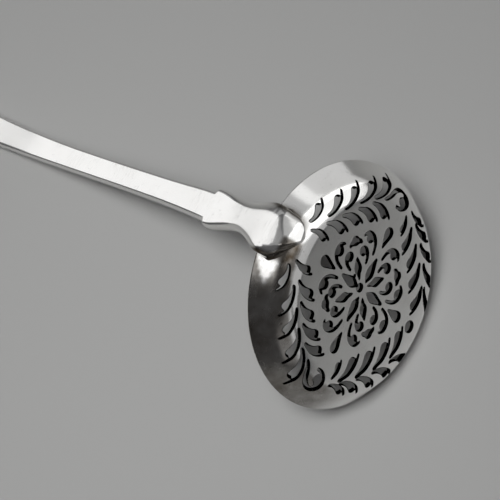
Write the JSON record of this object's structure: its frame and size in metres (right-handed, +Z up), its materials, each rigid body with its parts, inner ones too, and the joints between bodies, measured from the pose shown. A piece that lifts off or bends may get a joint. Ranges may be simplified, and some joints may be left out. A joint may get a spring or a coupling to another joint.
{
  "type": "sugar sifter ladle",
  "caption": "Silver ladle for sifting sugar: a shallow round bowl saw-pierced with scrolls and leafy fronds, on a curved fiddle handle whose drop is soldered to the wall.",
  "frame": {"origin": "centre of the bounding box's bottom face, on the table that the ladle lies on", "axes": "+X along the ladle towards the tip of its handle, +Y across it, +Z up. The ladle lies face down as when put away: the bowl's mouth looks down and the pierced bottom looks up at a slant, with the far rim and the handle on the table."},
  "size_m": [0.1514, 0.0504, 0.0405],
  "materials": {
    "bowl_silver": "polished antique silver, softly worn",
    "handle_silver": "polished antique silver, bright from handling",
    "solder": "silver solder, duller and slightly grey"
  },
  "bodies": {
    "root": {"sifter_bowl": "bowl_silver", "handle": "handle_silver", "solder_seam": "solder"}
  },
  "joints": []
}
